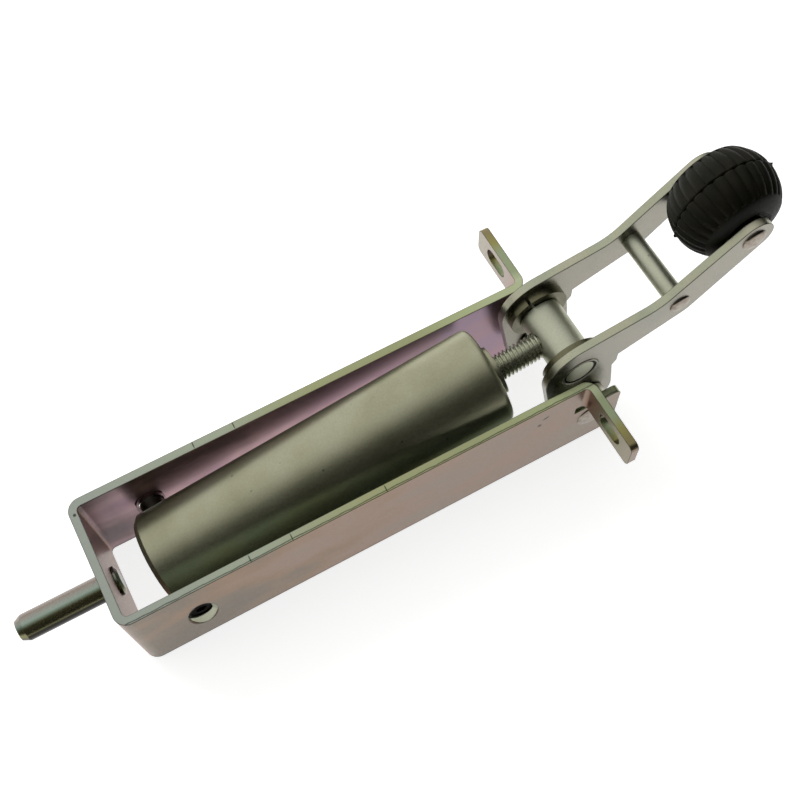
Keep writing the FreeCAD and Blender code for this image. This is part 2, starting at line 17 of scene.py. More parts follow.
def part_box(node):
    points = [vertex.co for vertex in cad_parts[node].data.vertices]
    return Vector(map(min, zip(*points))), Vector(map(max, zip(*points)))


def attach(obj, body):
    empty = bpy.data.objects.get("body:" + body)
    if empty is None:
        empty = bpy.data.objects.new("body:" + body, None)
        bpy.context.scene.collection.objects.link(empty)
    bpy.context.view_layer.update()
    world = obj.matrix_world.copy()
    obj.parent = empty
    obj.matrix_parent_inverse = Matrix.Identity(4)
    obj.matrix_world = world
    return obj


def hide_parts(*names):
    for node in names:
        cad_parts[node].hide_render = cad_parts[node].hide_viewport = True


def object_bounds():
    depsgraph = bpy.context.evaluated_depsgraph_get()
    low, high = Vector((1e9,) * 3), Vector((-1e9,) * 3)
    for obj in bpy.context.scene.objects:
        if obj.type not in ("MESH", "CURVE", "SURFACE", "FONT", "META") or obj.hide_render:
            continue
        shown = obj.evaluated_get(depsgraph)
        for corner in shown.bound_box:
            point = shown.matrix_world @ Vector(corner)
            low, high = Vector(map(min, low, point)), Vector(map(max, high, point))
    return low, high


MM = 0.001
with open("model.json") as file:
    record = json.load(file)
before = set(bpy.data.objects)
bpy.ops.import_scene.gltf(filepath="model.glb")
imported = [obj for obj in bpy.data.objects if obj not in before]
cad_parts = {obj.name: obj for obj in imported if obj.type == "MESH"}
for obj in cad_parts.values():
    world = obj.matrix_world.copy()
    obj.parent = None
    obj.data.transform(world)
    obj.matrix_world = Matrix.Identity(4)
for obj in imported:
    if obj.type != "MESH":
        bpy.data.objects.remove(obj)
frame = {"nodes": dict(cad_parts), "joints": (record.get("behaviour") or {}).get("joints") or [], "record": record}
nodes = frame["nodes"]
joints = {joint["name"]: joint for joint in frame["joints"]}
cad_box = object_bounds()
print("nodes", len(nodes), "size in mm", [round(side / MM, 1) for side in cad_box[1] - cad_box[0]])

# %% [markdown]
# ## Helpers for colours and nodes
# Colours are easiest to read as sRGB hex, but shaders work with linear light. One function
# converts them. A second one adds any node, sets its options, and fills its inputs: a value
# that is itself a socket becomes a link, anything else becomes the input's own number. A
# third one starts a material from one Principled shader, which suits nearly every surface.


# %% Colours
def linear(colour):
    """sRGB hex to linear RGBA: below 0.04045 divide by 12.92, above it the 2.4 power curve."""
    parts = np.array([int(colour[k:k + 2], 16) for k in (1, 3, 5)]) / 255
    curve = np.where(parts <= 0.04045, parts / 12.92, ((parts + 0.055) / 1.055) ** 2.4)
    return (*curve.tolist(), 1.0)


print("middle grey in linear light", round(linear("#808080")[0], 3))


# %% Nodes
def add(tree, kind, inputs=None, ramp=None, **settings):
    """Add one node with its settings; inputs maps a socket's name or number to a value or a link."""
    node = tree.nodes.new(kind)
    for name, value in settings.items():
        setattr(node, name, value)
    for name, value in (inputs or {}).items():
        if isinstance(value, bpy.types.NodeSocket):
            tree.links.new(value, node.inputs[name])
        else:
            node.inputs[name].default_value = value
    if ramp:
        stops = node.color_ramp.elements
        while len(stops) < len(ramp):
            stops.new(1.0)
        for stop, (place, colour) in zip(stops, ramp):
            stop.position = place
            stop.color = linear(colour)
    return node


def new_material(name, inputs):
    """A material with one Principled shader; inputs are the sockets that are the same all over."""
    material = bpy.data.materials.new(name)
    material.use_nodes = True
    tree = material.node_tree
    shader = tree.nodes["Principled BSDF"]
    for socket, value in inputs.items():
        shader.inputs[socket].default_value = value
    return material, tree, shader.inputs


def per_mm(size):
    """Texture scale that makes a pattern's features about this many millimetres wide."""
    return 1 / (size * MM)


print("scale of a 1 mm pattern", per_mm(1.0))

# %% [markdown]
# ## The camera
# The camera looks steeply down along the channel. Its place, its target and a small roll
# came from matching corners of known size in the picture, so the lens is a plain 50 mm one
# and needs no shift.

# %% Camera
CAMERA_PLACE = Vector((39.32, -122.07, 306.55)) * MM
CAMERA_TARGET = Vector((99.56, 10.92, 0.0)) * MM
CAMERA_ROLL = math.radians(-4.35)
CAMERA_LENS = 50.5


def new_object(name, data):
    """An object that shows this mesh, camera or lamp, put into the scene."""
    made = bpy.data.objects.new(name, data)
    bpy.context.scene.collection.objects.link(made)
    return made


camera_data = bpy.data.cameras.new("camera")
camera_data.lens = CAMERA_LENS
camera_data.clip_start = 0.01
camera = new_object("camera", camera_data)
gaze = (CAMERA_TARGET - CAMERA_PLACE).to_track_quat("-Z", "Y").to_matrix().to_4x4()
camera.matrix_world = Matrix.Translation(CAMERA_PLACE) @ gaze @ Matrix.Rotation(CAMERA_ROLL, 4, "Z")
bpy.context.scene.camera = camera
print("camera", [round(value, 4) for value in camera.location])


# %% [markdown]
# ## Surfaces from arrays
# Every new shape here is a grid of points worked out with whole arrays. This helper turns
# such a grid into a mesh. A grid can close on itself in either direction, and an open tube
# gets one flat face at each end. The volume it prints is positive when the faces look out.

# %% Grid to mesh
def grid_object(name, points, close_rows=False, caps=False, sharp=35.0):
    """Mesh from points[row, column]: a quad joins each point to the next in both directions.

    Columns always close into rings. Rows close too when close_rows is set."""
    rows, columns = points.shape[:2]
    index = np.arange(rows * columns).reshape(rows, columns)
    beside = np.roll(index, -1, axis=1)
    above = np.roll(index, -1, axis=0)
    both = np.roll(beside, -1, axis=0)
    quads = np.stack([index, beside, both, above], axis=-1)
    quads = (quads if close_rows else quads[:-1]).reshape(-1, 4)
    faces = quads.tolist()
    if caps:
        faces += [index[0, ::-1].tolist(), index[-1].tolist()]
    mesh = bpy.data.meshes.new(name)
    mesh.from_pydata(points.reshape(-1, 3).tolist(), [], faces)
    mesh.shade_smooth()
    mesh.set_sharp_from_angle(angle=math.radians(sharp))
    a, b, c, d = points.reshape(-1, 3)[quads].swapaxes(0, 1)
    volume = (a * (np.cross(b, c) + np.cross(c, d))).sum() / 6
    print(name, len(mesh.polygons), "faces, side volume", round(volume / MM ** 3, 1), "mm3")
    return new_object(name, mesh)


# %% [markdown]
# ## The roller's tyre
# The tyre is moulded rubber in two halves: a crowned tread with rounded ribs, a fine parting
# groove round the middle, smooth shoulders and dished sides. A revolved profile could make
# the crown and a modelled rib could be arrayed round it, but one formula does both: the
# profile's radius, less a scallop that depends on the angle.

# %% Tyre sizes
tyre_low, tyre_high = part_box("roller_tyre")
# the roller has a little play on its axle and lies towards the left plate
AXIAL_PLAY = 0.5 * MM
TYRE_AXLE = np.array((tyre_low + tyre_high) / 2) + np.array((0.0, AXIAL_PLAY, 0.0))
# the ribs' crests stand a little proud of the plain solid
TYRE_RADIUS = (tyre_high.z - tyre_low.z) / 2 + 0.3 * MM
# the play closes the gap to the left plate, and the moulding is fuller on the right
LEFT_REACH = (tyre_high.y - tyre_low.y) / 2 - 0.2 * MM
RIGHT_REACH = (tyre_high.y - tyre_low.y) / 2 + 0.6 * MM
HALF_TREAD = 9.3 * MM
SHOULDER_RADIUS = 12.2 * MM
SHOULDER_BEND = 1.0 * MM
RIM_RADIUS = 7.4 * MM
RIM_ROUNDING = 0.4 * MM
DISH_RADIUS = 6.0 * MM
DISH_DEPTH = 1.2 * MM
BORE_RADIUS = (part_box("roller_hub")[1].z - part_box("roller_hub")[0].z) / 2
print("tyre radius mm", round(TYRE_RADIUS / MM, 2), "bore radius mm", round(BORE_RADIUS / MM, 2))


# %% Tyre profile
def tread_profile(place):
    """Crown of the tread: a circular arc through its middle and both ends."""
    drop = TYRE_RADIUS - SHOULDER_RADIUS
    crown = (HALF_TREAD ** 2 + drop ** 2) / (2 * drop)
    return np.sqrt(crown ** 2 - place ** 2) + TYRE_RADIUS - crown


def side_profile(reach, steps=10):
    """One side from the tread's end to the bore: a bent shoulder, a rounded rim, a dished face.

    Each stretch is a quadratic Bezier curve from its start past its middle control to its end."""
    floor = reach - DISH_DEPTH
    shoulder = (HALF_TREAD, SHOULDER_RADIUS)
    shoulder_control = (HALF_TREAD + SHOULDER_BEND, SHOULDER_RADIUS - SHOULDER_BEND)
    rim_start = (reach - RIM_ROUNDING / 2, RIM_RADIUS + RIM_ROUNDING)
    rim_control = (reach, RIM_RADIUS)
    rim_end = (reach - RIM_ROUNDING, RIM_RADIUS - RIM_ROUNDING)
    dish_control = (floor + RIM_ROUNDING, DISH_RADIUS + RIM_ROUNDING)
    dish = (floor, DISH_RADIUS - RIM_ROUNDING)
    face_control = (floor, (DISH_RADIUS + BORE_RADIUS) / 2)
    bore = (floor, BORE_RADIUS)
    stretches = np.array([(shoulder, shoulder_control, rim_start), (rim_start, rim_control, rim_end),
                          (rim_end, dish_control, dish), (dish, face_control, bore)])
    start, control, end = stretches[:, :, None].swapaxes(0, 1)
    t = np.linspace(0, 1, steps)[:, None]
    return ((1 - t) ** 2 * start + 2 * t * (1 - t) * control + t ** 2 * end).reshape(-1, 2)


left_side, right_side = side_profile(LEFT_REACH), side_profile(RIGHT_REACH)
print("side profile points", len(left_side))

# %% Ribbed tyre
RIB_COUNT = 28
RIB_DEPTH = 0.62 * MM
RIB_PHASE = math.radians(8.9)
RIB_END = 0.35 * MM
PARTING_DEPTH = 0.4 * MM
PARTING_WIDTH = 0.22 * MM
PARTING_PLACE = 0.4 * MM
FLASH_ANGLES = np.radians([27.0, 204.0])
FLASH_HEIGHT = 1.1 * MM
FLASH_SIZE = 0.5 * MM


def tyre_points(along=121, around=RIB_COUNT * 16):
    """Radius = crown - depth * u^2 - groove + flash, where u runs -1 to 1 across each rib.

    The ribs of the two halves stand half a rib apart and fade over a short run at both ends.
    Groove and flash are bell curves of the distance from the parting line and from a nub."""
    place = np.linspace(-HALF_TREAD, HALF_TREAD, along)
    tread = np.column_stack([place, tread_profile(place)])
    profile = np.concatenate([tread, left_side[1:], right_side[::-1][:-1] * [-1, 1]])
    angle = -np.arange(around) * 2 * np.pi / around
    y, ring = profile[:, :1], profile[:, 1:]
    pitch = 2 * np.pi / RIB_COUNT
    off = y - PARTING_PLACE
    crest = np.where(off < 0, RIB_PHASE, RIB_PHASE + pitch / 2)
    u = 2 * np.abs(((angle - crest) / pitch + 0.5) % 1.0 - 0.5)
    on_tread = np.concatenate([np.ones(along), np.zeros(len(profile) - along)])[:, None]
    fade = np.clip((HALF_TREAD - np.abs(y)) / RIB_END, 0, 1) * on_tread
    groove = PARTING_DEPTH * np.exp(-(off / PARTING_WIDTH) ** 2) * on_tread
    turn = np.abs((angle[:, None] - FLASH_ANGLES + np.pi) % (2 * np.pi) - np.pi).min(axis=1)
    flash = FLASH_HEIGHT * np.exp(-((turn * TYRE_RADIUS) ** 2 + off ** 2) / FLASH_SIZE ** 2) * on_tread
    radius = ring - RIB_DEPTH * u ** 2 * fade - groove + flash
    return TYRE_AXLE + np.stack([radius * np.cos(angle), np.broadcast_to(y, radius.shape),
                                 radius * np.sin(angle)], axis=-1)


tyre = grid_object("ribbed_tyre", tyre_points(), close_rows=True)
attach(tyre, "roller")
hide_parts("roller_tyre")

# %% [markdown]
# ## The threaded rod
# The rod's outer end has a machine thread that screws into the cross barrel. A Screw modifier
# could sweep one tooth, but the formula of a thread is short: the depth depends only on how
# far a point lies along the axis minus the share of a turn that it has gone round.

# %% Rod sizes
ROD_AXIS = np.array(joints["rod_stroke"]["axis"])
ROD_UP = np.cross(ROD_AXIS, (0.0, 1.0, 0.0))
BARREL = np.array(joints["rod_pivot"]["pos_m"])
ROD_RADIUS = 4.0 * MM
STUD_RADIUS = 3.0 * MM
# places along the axis, counted from the barrel's middle: the piston's stud, the thread and the rod's end
STUD_START, STUD_END = -97.256 * MM, -81.756 * MM
THREAD_START, THREAD_END = -19.9 * MM, -3.0 * MM
ROD_END = 3.0 * MM
THREAD_PITCH = 1.25 * MM
THREAD_DEPTH = 0.85 * MM
print("turns of thread", round((THREAD_END - THREAD_START) / THREAD_PITCH, 1))


# %% Threaded rod
def rod_points(around=72, steps_per_turn=18):
    """Radius = rod - depth * valley, where valley is a triangle wave with its ends cut off flat.

    The wave runs with place / pitch - angle / turn. The thread runs out over one pitch at both
    ends, and the rear end steps down to the stud."""
    steps = int((THREAD_END - THREAD_START) / THREAD_PITCH * steps_per_turn)
    plain = np.linspace(STUD_END, THREAD_START, 30)[1:-1]
    thread = np.linspace(THREAD_START, THREAD_END, steps)
    place = np.concatenate([[STUD_START, STUD_END, STUD_END], plain, thread, [ROD_END]])[:, None]
    base = np.full_like(place, ROD_RADIUS)
    base[:2] = STUD_RADIUS
    angle = -np.arange(around) * 2 * np.pi / around
    wave = np.abs(((place / THREAD_PITCH - angle / (2 * np.pi)) % 1.0) * 2 - 1)
    valley = np.clip((wave - 0.25) / 0.6, 0, 1)
    inside = np.minimum(place - THREAD_START, THREAD_END - place)
    runout = np.clip(inside / THREAD_PITCH, 0, 1)
    radius = base - THREAD_DEPTH * valley * runout
    around_axis = np.cos(angle)[:, None] * np.array([0.0, 1.0, 0.0]) - np.sin(angle)[:, None] * ROD_UP
    return BARREL + place[..., None] * ROD_AXIS + radius[..., None] * around_axis


rod = grid_object("threaded_rod", rod_points(), caps=True, sharp=60.0)
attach(rod, "rod")
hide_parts("piston_rod")

# %% [markdown]
# ## Peened rivet heads
# The stay rod and the axle are riveted: their ends are hammered into low buttons over the
# plates' holes, and so are the ends of the pivot pins. A squashed sphere would look domed, so
# a profile is turned about the rivet's axis instead. Its shoulder is an arc of high order,
# and the face stays nearly flat.


# %% Shape of a rivet head
def button_points(place, side, radius, height, rings=14, around=48):
    """Height above the plate = height * (1 - (r / radius)^4)^0.5, turned about an axis along y.

    The first ring lies below the plate's face and closes the button's edge."""
    r = radius * np.sin(np.linspace(np.pi / 2, 0.03, rings))
    rise = height * np.sqrt(1 - (r / radius) ** 4)
    r, rise = np.append(radius, r)[:, None], np.append(-0.3 * MM, rise)[:, None]
    angle = -side * np.arange(around) * 2 * np.pi / around
    return place + np.stack([r * np.cos(angle), np.broadcast_to(side * rise, (rings + 1, around)),
                             r * np.sin(angle)], axis=-1)


def on_face(node, y):
    """Middle of a node's box, moved along y onto a face."""
    x, _, z = sum(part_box(node), Vector()) / 2
    return np.array((x, y, z))


# %% Rivet heads
HANDS = (("left", 1), ("right", -1))
PLATE_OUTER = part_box("lever_plate_left")[1].y
WALL_OUTER = 20.0 * MM
# name, node it ends, body it rides, face it stands on, radius and height in mm
RIVETS = [("stay_rivet", "stay_rod", "lever", PLATE_OUTER, 3.3, 0.9),
          ("axle_rivet", "roller_axle", "lever", PLATE_OUTER, 3.7, 1.0),
          ("pivot_rivet", "pivot_pin_left", "bracket", WALL_OUTER, 5.2, 0.7)]
rivets = []
for rivet, node, carrier, face, radius, height in RIVETS:
    for hand, side in HANDS:
        shape = button_points(on_face(node, side * face), side, radius * MM, height * MM)
        button = grid_object(f"{rivet}_{hand}", shape, caps=True)
        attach(button, carrier)
        rivets.append(button)

# %% [markdown]
# ## Eyelets of the trunnions
# The walls' oval holes are lined where the cylinder's pins turn: a pressed eyelet slopes in
# from the outer face, a black ring behind it closes the hole around the pin, and a plated
# cover hides that ring on the inside. A Boolean could cut such rings from sheet, but each is
# only a few ovals joined row by row, and an oval is a circle pulled apart along z.


# %% Rings from ovals
def oval_points(place, side, rows, around=72):
    """Ovals: x = R cos + slide, z = R sin + pull * above, at a depth inside the face.

    Above is six times the sine cut off at 1 and -1, so the pull swaps sides without a jump."""
    radius, pull, depth, slide = (np.array(column)[:, None] * MM for column in zip(*rows))
    angle = -side * np.arange(around) * 2 * np.pi / around
    above = np.clip(6 * np.sin(angle), -1, 1)
    return place + np.stack([radius * np.cos(angle) + slide,
                             np.broadcast_to(-side * depth, (len(rows), around)),
                             radius * np.sin(angle) + pull * above], axis=-1)


def flat_ring(outer, inner, front, back):
    """Ovals of a flat ring: in along its front, through the hole, and out along its back."""
    return [(*outer, front, 0.0), (*inner, front, 0.0), (*inner, back, 0.0), (*outer, back, 0.0)]


def ring_piece(name, place, side, ovals, body):
    """A closed ring that rides a body."""
    ring = grid_object(name, oval_points(place, side, ovals), close_rows=True)
    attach(ring, body)
    return ring


# %% Eyelets
# each oval: radius, pull, depth and slide in mm
EYELET = [(4.42, 3.62, -0.02, 0.0), (4.24, 3.25, 0.25, -0.05), (4.00, 2.40, 0.70, -0.25),
          (3.70, 1.50, 1.15, -0.45), (3.60, 1.10, 1.40, -0.55), (4.26, 3.50, 1.40, 0.0)]
PIN_HOLE = (3.84, 0.64)
LINER = flat_ring((4.26, 3.55), PIN_HOLE, 1.42, 2.30)
COVER = flat_ring((4.29, 3.59), PIN_HOLE, 2.32, 2.50)
eyelets, liners, covers = [], [], []
for hand, side in HANDS:
    place = on_face("trunnion_pin_" + hand, side * WALL_OUTER)
    eyelets.append(ring_piece("trunnion_eyelet_" + hand, place, side, EYELET, "bracket"))
    liners.append(ring_piece("trunnion_liner_" + hand, place, side, LINER, "bracket"))
    covers.append(ring_piece("trunnion_cover_" + hand, place, side, COVER, "bracket"))

# %% [markdown]
# ## Retaining rings of the barrel
# A thin ring snaps over each end of the cross barrel and keeps it in the lever. From outside it is
# a light line round the barrel's end, and a flat black ring inside it is painted shade for the gap.
# A torus would be too round for a stamped ring. Both are circles, so the oval's formula makes
# them with no pull.

# %% Retaining rings
BARREL_END = max(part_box("cross_barrel")[1].y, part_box("barrel_bush_left")[1].y, PLATE_OUTER)
# painted shade: a flat black ring stands for the dark gap inside the snap ring
GAP_SHADE = flat_ring((5.30, 0.0), (4.70, 0.0), -0.05, 0.10)
SNAP = [(5.95, 0.0, 0.10, 0.0), (5.90, 0.0, -0.15, 0.0), (5.75, 0.0, -0.25, 0.0),
        (5.45, 0.0, -0.25, 0.0), (5.30, 0.0, -0.15, 0.0), (5.30, 0.0, 0.10, 0.0)]
gap_shades, snaps = [], []
for hand, side in HANDS:
    place = np.array((BARREL[0], side * BARREL_END, BARREL[2]))
    gap_shades.append(ring_piece("barrel_gap_shade_" + hand, place, side, GAP_SHADE, "lever"))
    snaps.append(ring_piece("barrel_ring_" + hand, place, side, SNAP, "lever"))
print("barrel end mm", round(BARREL_END / MM, 2))

# %% [markdown]
# ## A collar over the right bush
# Both bushes are slit so that they snap in. The right one is taken to sit with its slit
# underneath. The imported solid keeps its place, so it can't be turned here, and a collar a
# hair wider than its flange closes the slit on top instead.

# %% Collar
bush_low, bush_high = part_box("barrel_bush_right")
FLANGE = (bush_high.z - bush_low.z) / 2 / MM
# depths inside the barrel's end, a hair short of the flange's two faces
FLANGE_FROM = (BARREL_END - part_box("lever_plate_left")[0].y) / MM + 0.02
FLANGE_TO = (BARREL_END + bush_high.y) / MM - 0.02
COLLAR = flat_ring((FLANGE + 0.05, 0.0), (FLANGE - 0.60, 0.0), FLANGE_FROM, FLANGE_TO)
collar_place = np.array((BARREL[0], -BARREL_END, BARREL[2]))
collar = ring_piece("bush_collar_right", collar_place, -1, COLLAR, "lever")
print("flange radius mm", round(FLANGE, 2), "from", round(FLANGE_FROM, 2), "to", round(FLANGE_TO, 2))

# %% [markdown]
# ## Plated sheet: a skin for every plated piece
# Zinc plating is a skin of fine crystals over sheet with blunt, slightly burred edges. The
# solids have sharp edges, and a real bevel on each would cost many faces, so the shader rounds
# them: its Bevel node turns the normal near an edge, which gives each edge a thin line of
# other reflections, and the same normal marks where a painted shade darkens that line.


# %% Plated skin
def plated_skin(tree, shader, coords, colour, roughness, edge_mm, edge_shade_tone, grain_tone):
    """Finish of plated sheet: colour * mottle * painted edge shade, on a rounded and finely dented normal."""
    # crystals are far finer than this, so they are drawn as coarse as shows at this distance
    grain = add(tree, "ShaderNodeTexNoise",
                {"Vector": coords.outputs["Object"], "Scale": per_mm(0.9),
                 "Detail": 3.0, "Roughness": 0.6})
    mottle = add(tree, "ShaderNodeMapRange",
                 {"Value": grain.outputs["Fac"], "From Min": 0.3, "From Max": 0.7,
                  "To Min": 1 - grain_tone, "To Max": 1 + grain_tone})
    rounded = add(tree, "ShaderNodeBevel", {"Radius": edge_mm * MM}, samples=8)
    flat = add(tree, "ShaderNodeNewGeometry")
    agree = add(tree, "ShaderNodeVectorMath", {0: rounded.outputs[0], 1: flat.outputs["True Normal"]},
                operation="DOT_PRODUCT")
    # painted shade: the colour darkens along each edge, where the rounded normal turns away from the face
    edge = add(tree, "ShaderNodeMapRange",
               {"Value": agree.outputs["Value"], "From Min": 0.99, "From Max": 0.86,
                "To Min": 1.0, "To Max": edge_shade_tone})
    shade = add(tree, "ShaderNodeMath", {0: mottle.outputs[0], 1: edge.outputs[0]}, operation="MULTIPLY")
    skin = add(tree, "ShaderNodeVectorMath", {0: colour, "Scale": shade.outputs[0]}, operation="SCALE")
    satin = add(tree, "ShaderNodeMapRange",
                {"Value": grain.outputs["Fac"], "From Min": 0.3, "From Max": 0.7,
                 "To Min": roughness - 0.05, "To Max": roughness + 0.07})
    dents = add(tree, "ShaderNodeBump",
                {"Strength": 0.05, "Distance": 0.04 * MM, "Height": grain.outputs["Fac"],
                 "Normal": rounded.outputs[0]})
    tree.links.new(skin.outputs[0], shader["Base Color"])
    tree.links.new(satin.outputs[0], shader["Roughness"])
    tree.links.new(dents.outputs[0], shader["Normal"])


# %% [markdown]
# ## Yellow passivated zinc
# The bracket carries a chromate film so thin that it colours by interference: green on one
# face, pink or violet on the next. A thin-film shader would lose these colours in an export,
# so the film is painted. Its thickness follows how each face drained after the bath: a face's
# direction picks a family of colours, and slow noise drifts along it.

# %% Colour families of the film
# walls, from the web to the tabs: outside, inside, and the faces that look left
FRONT_FILM = [(0.10, "#766b5c"), (0.28, "#807160"), (0.42, "#94785f"), (0.55, "#9b806e"),
              (0.72, "#958272"), (0.88, "#938575")]
INNER_FILM = [(0.08, "#8f767a"), (0.20, "#a58488"), (0.33, "#d2abb2"), (0.56, "#b48e9f"),
              (0.70, "#ab8a94"), (0.85, "#a3899c")]
BACK_FILM = [(0.32, "#72857a"), (0.50, "#7f9080"), (0.68, "#8a9074")]
# cut edges along the strip, from the middle of the web past the bend of a tab to its end
EDGE_FILM = [(0.00, "#9aa096"), (0.14, "#a0a792"), (0.26, "#9fa27a"), (0.38, "#9da178"),
             (0.46, "#abb388"), (0.52, "#b8c09c"), (0.60, "#9aa380"), (0.74, "#97a280"),
             (0.83, "#969058"), (0.92, "#8c815a"), (1.00, "#8f8468")]
# faces across the bracket, from the end of the right tab to the end of the left one
END_FILM = [(0.02, "#9a917c"), (0.10, "#8c8468"), (0.18, "#7b7558"), (0.235, "#84654f"),
            (0.27, "#9a7a6a"), (0.73, "#9c7c6e"), (0.80, "#a2938a"), (0.95, "#a39a8c")]
STRIP_LENGTH = 150 * MM
TAB_REACH = 42 * MM
print("families of colour", len((FRONT_FILM, INNER_FILM, BACK_FILM, EDGE_FILM, END_FILM)))

# %% Film on the walls
# a Mix node has sockets for every kind of data: these are its two colours and their mix
COLOUR_A, COLOUR_B, COLOUR_MIX = 6, 7, 2


def wall_film(tree, spot, facing, drift):
    """Walls: drift plus the place along x picks from a ramp; side and normal pick the ramp."""
    forwards = add(tree, "ShaderNodeMapRange",
                   {"Value": spot.outputs["X"], "From Min": 0.0, "From Max": STRIP_LENGTH,
                    "To Min": -0.35, "To Max": 0.25})
    clouded = add(tree, "ShaderNodeMath",
                  {0: drift.outputs["Fac"], 1: 1.1, 2: forwards.outputs[0]}, operation="MULTIPLY_ADD")
    front = add(tree, "ShaderNodeValToRGB", {"Fac": clouded.outputs[0]}, ramp=FRONT_FILM)
    inner = add(tree, "ShaderNodeValToRGB", {"Fac": clouded.outputs[0]}, ramp=INNER_FILM)
    back = add(tree, "ShaderNodeValToRGB", {"Fac": drift.outputs["Fac"]}, ramp=BACK_FILM)
    # painted shade: the inner faces darken towards the corner by the web, where the walls shade it
    corner = add(tree, "ShaderNodeMapRange",
                 {"Value": spot.outputs["X"], "From Min": 10 * MM, "From Max": 24 * MM,
                  "To Min": 0.45, "To Max": 1.0})
    inner = add(tree, "ShaderNodeVectorMath", {0: inner.outputs[0], "Scale": corner.outputs[0]},
                operation="SCALE")
    # a face that looks right is an inner one on the left wall and an outer one on the right wall
    is_left = add(tree, "ShaderNodeMath", {0: spot.outputs["Y"], 1: 0.0}, operation="GREATER_THAN")
    walls = add(tree, "ShaderNodeMix",
                {"Factor": is_left.outputs[0], COLOUR_A: front.outputs[0], COLOUR_B: inner.outputs[0]},
                data_type="RGBA")
    is_back = add(tree, "ShaderNodeMapRange",
                  {"Value": facing.outputs["Y"], "From Min": -0.4, "From Max": 0.4})
    sides = add(tree, "ShaderNodeMix",
                {"Factor": is_back.outputs[0], COLOUR_A: walls.outputs[COLOUR_MIX],
                 COLOUR_B: back.outputs[0]}, data_type="RGBA")
    return sides.outputs[COLOUR_MIX]


# %% Film on the cut edges
def edge_film(tree, spot, drift):
    """Cut edges: a ramp over the length along the bent sheet, x first and then |y|, plus some drift."""
    along = add(tree, "ShaderNodeMapRange",
                {"Value": spot.outputs["X"], "From Min": 0.0, "From Max": STRIP_LENGTH,
                 "To Min": -0.06, "To Max": 0.46})
    beyond = add(tree, "ShaderNodeMath", {0: spot.outputs["Y"]}, operation="ABSOLUTE")
    tab = add(tree, "ShaderNodeMapRange",
              {"Value": beyond.outputs[0], "From Min": WALL_OUTER, "From Max": TAB_REACH,
               "To Min": 0.0, "To Max": 0.48})
    strip = add(tree, "ShaderNodeMath", {0: along.outputs[0], 1: tab.outputs[0]}, operation="ADD")
    wander = add(tree, "ShaderNodeMath",
                 {0: drift.outputs["Fac"], 1: 0.12, 2: strip.outputs[0]}, operation="MULTIPLY_ADD")
    edge = add(tree, "ShaderNodeValToRGB", {"Fac": wander.outputs[0]}, ramp=EDGE_FILM)
    return edge.outputs[0]


# %% Film on the whole bracket
def yellow_film(tree, coords):
    """Film colour: walls, then end faces where |normal x| is large, then edges where |normal z| is."""
    spot = add(tree, "ShaderNodeSeparateXYZ", {"Vector": coords.outputs["Object"]})
    facing = add(tree, "ShaderNodeSeparateXYZ", {"Vector": coords.outputs["Normal"]})
    # clouds as long as a finger, drawn out along the strip
    stretch = add(tree, "ShaderNodeMapping",
                  {"Vector": coords.outputs["Object"], "Scale": (0.6, 1.0, 1.3)})
    drift = add(tree, "ShaderNodeTexNoise",
                {"Vector": stretch.outputs[0], "Scale": per_mm(22.0), "Detail": 3.0})
    across = add(tree, "ShaderNodeMapRange",
                 {"Value": spot.outputs["Y"], "From Min": -TAB_REACH, "From Max": TAB_REACH,
                  "To Min": 0.0, "To Max": 1.0})
    end = add(tree, "ShaderNodeValToRGB", {"Fac": across.outputs[0]}, ramp=END_FILM)
    endwise = add(tree, "ShaderNodeMath", {0: facing.outputs["X"]}, operation="ABSOLUTE")
    is_end = add(tree, "ShaderNodeMapRange",
                 {"Value": endwise.outputs[0], "From Min": 0.45, "From Max": 0.85})
    upright = add(tree, "ShaderNodeMix",
                  {"Factor": is_end.outputs[0], COLOUR_A: wall_film(tree, spot, facing, drift),
                   COLOUR_B: end.outputs[0]}, data_type="RGBA")
    upward = add(tree, "ShaderNodeMath", {0: facing.outputs["Z"]}, operation="ABSOLUTE")
    is_edge = add(tree, "ShaderNodeMapRange",
                  {"Value": upward.outputs[0], "From Min": 0.35, "From Max": 0.8})
    film = add(tree, "ShaderNodeMix",
               {"Factor": is_edge.outputs[0], COLOUR_A: upright.outputs[COLOUR_MIX],
                COLOUR_B: edge_film(tree, spot, drift)}, data_type="RGBA")
    return film.outputs[COLOUR_MIX]


# %% [markdown]
# ## Marks on the film
# Shears, knocks and scratches broke the film, and bare zinc darkens there. Modelled nicks would
# hardly show at this size, so the marks are dark spots in the colour: an ellipsoid is one
# Mapping node, which squeezes it to a ball of radius 1. The shears also left a burr, a dark
# line that wavers along the right wall's upper edge, and a second line darkens the foot of the walls.

# %% Nicks and scratches
BOTTOM, TOP = (corner.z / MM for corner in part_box("bracket"))
SIDE = WALL_OUTER / MM
# nicks on the walls' upper edges: place along x and side
NICKS = [(38.5, 1), (51.0, 1), (38.5, -1), (51.0, -1), (79.8, -1)]
NICK_INSET = 1.1
# each mark: middle and half sizes in mm, turn about y in degrees
MARKS = [((x, side * (SIDE - NICK_INSET), TOP), (0.22, 1.6, 0.8), 0) for x, side in NICKS]
MARKS += [((1.5, 15.6, TOP), (0.6, 0.6, 0.6), 0),
          ((131.0, -SIDE, 12.4), (1.5, 0.4, 0.7), -20),
          ((129.1, -SIDE, 9.2), (0.8, 0.4, 1.2), -20)]
MARK_TONE = 0.18


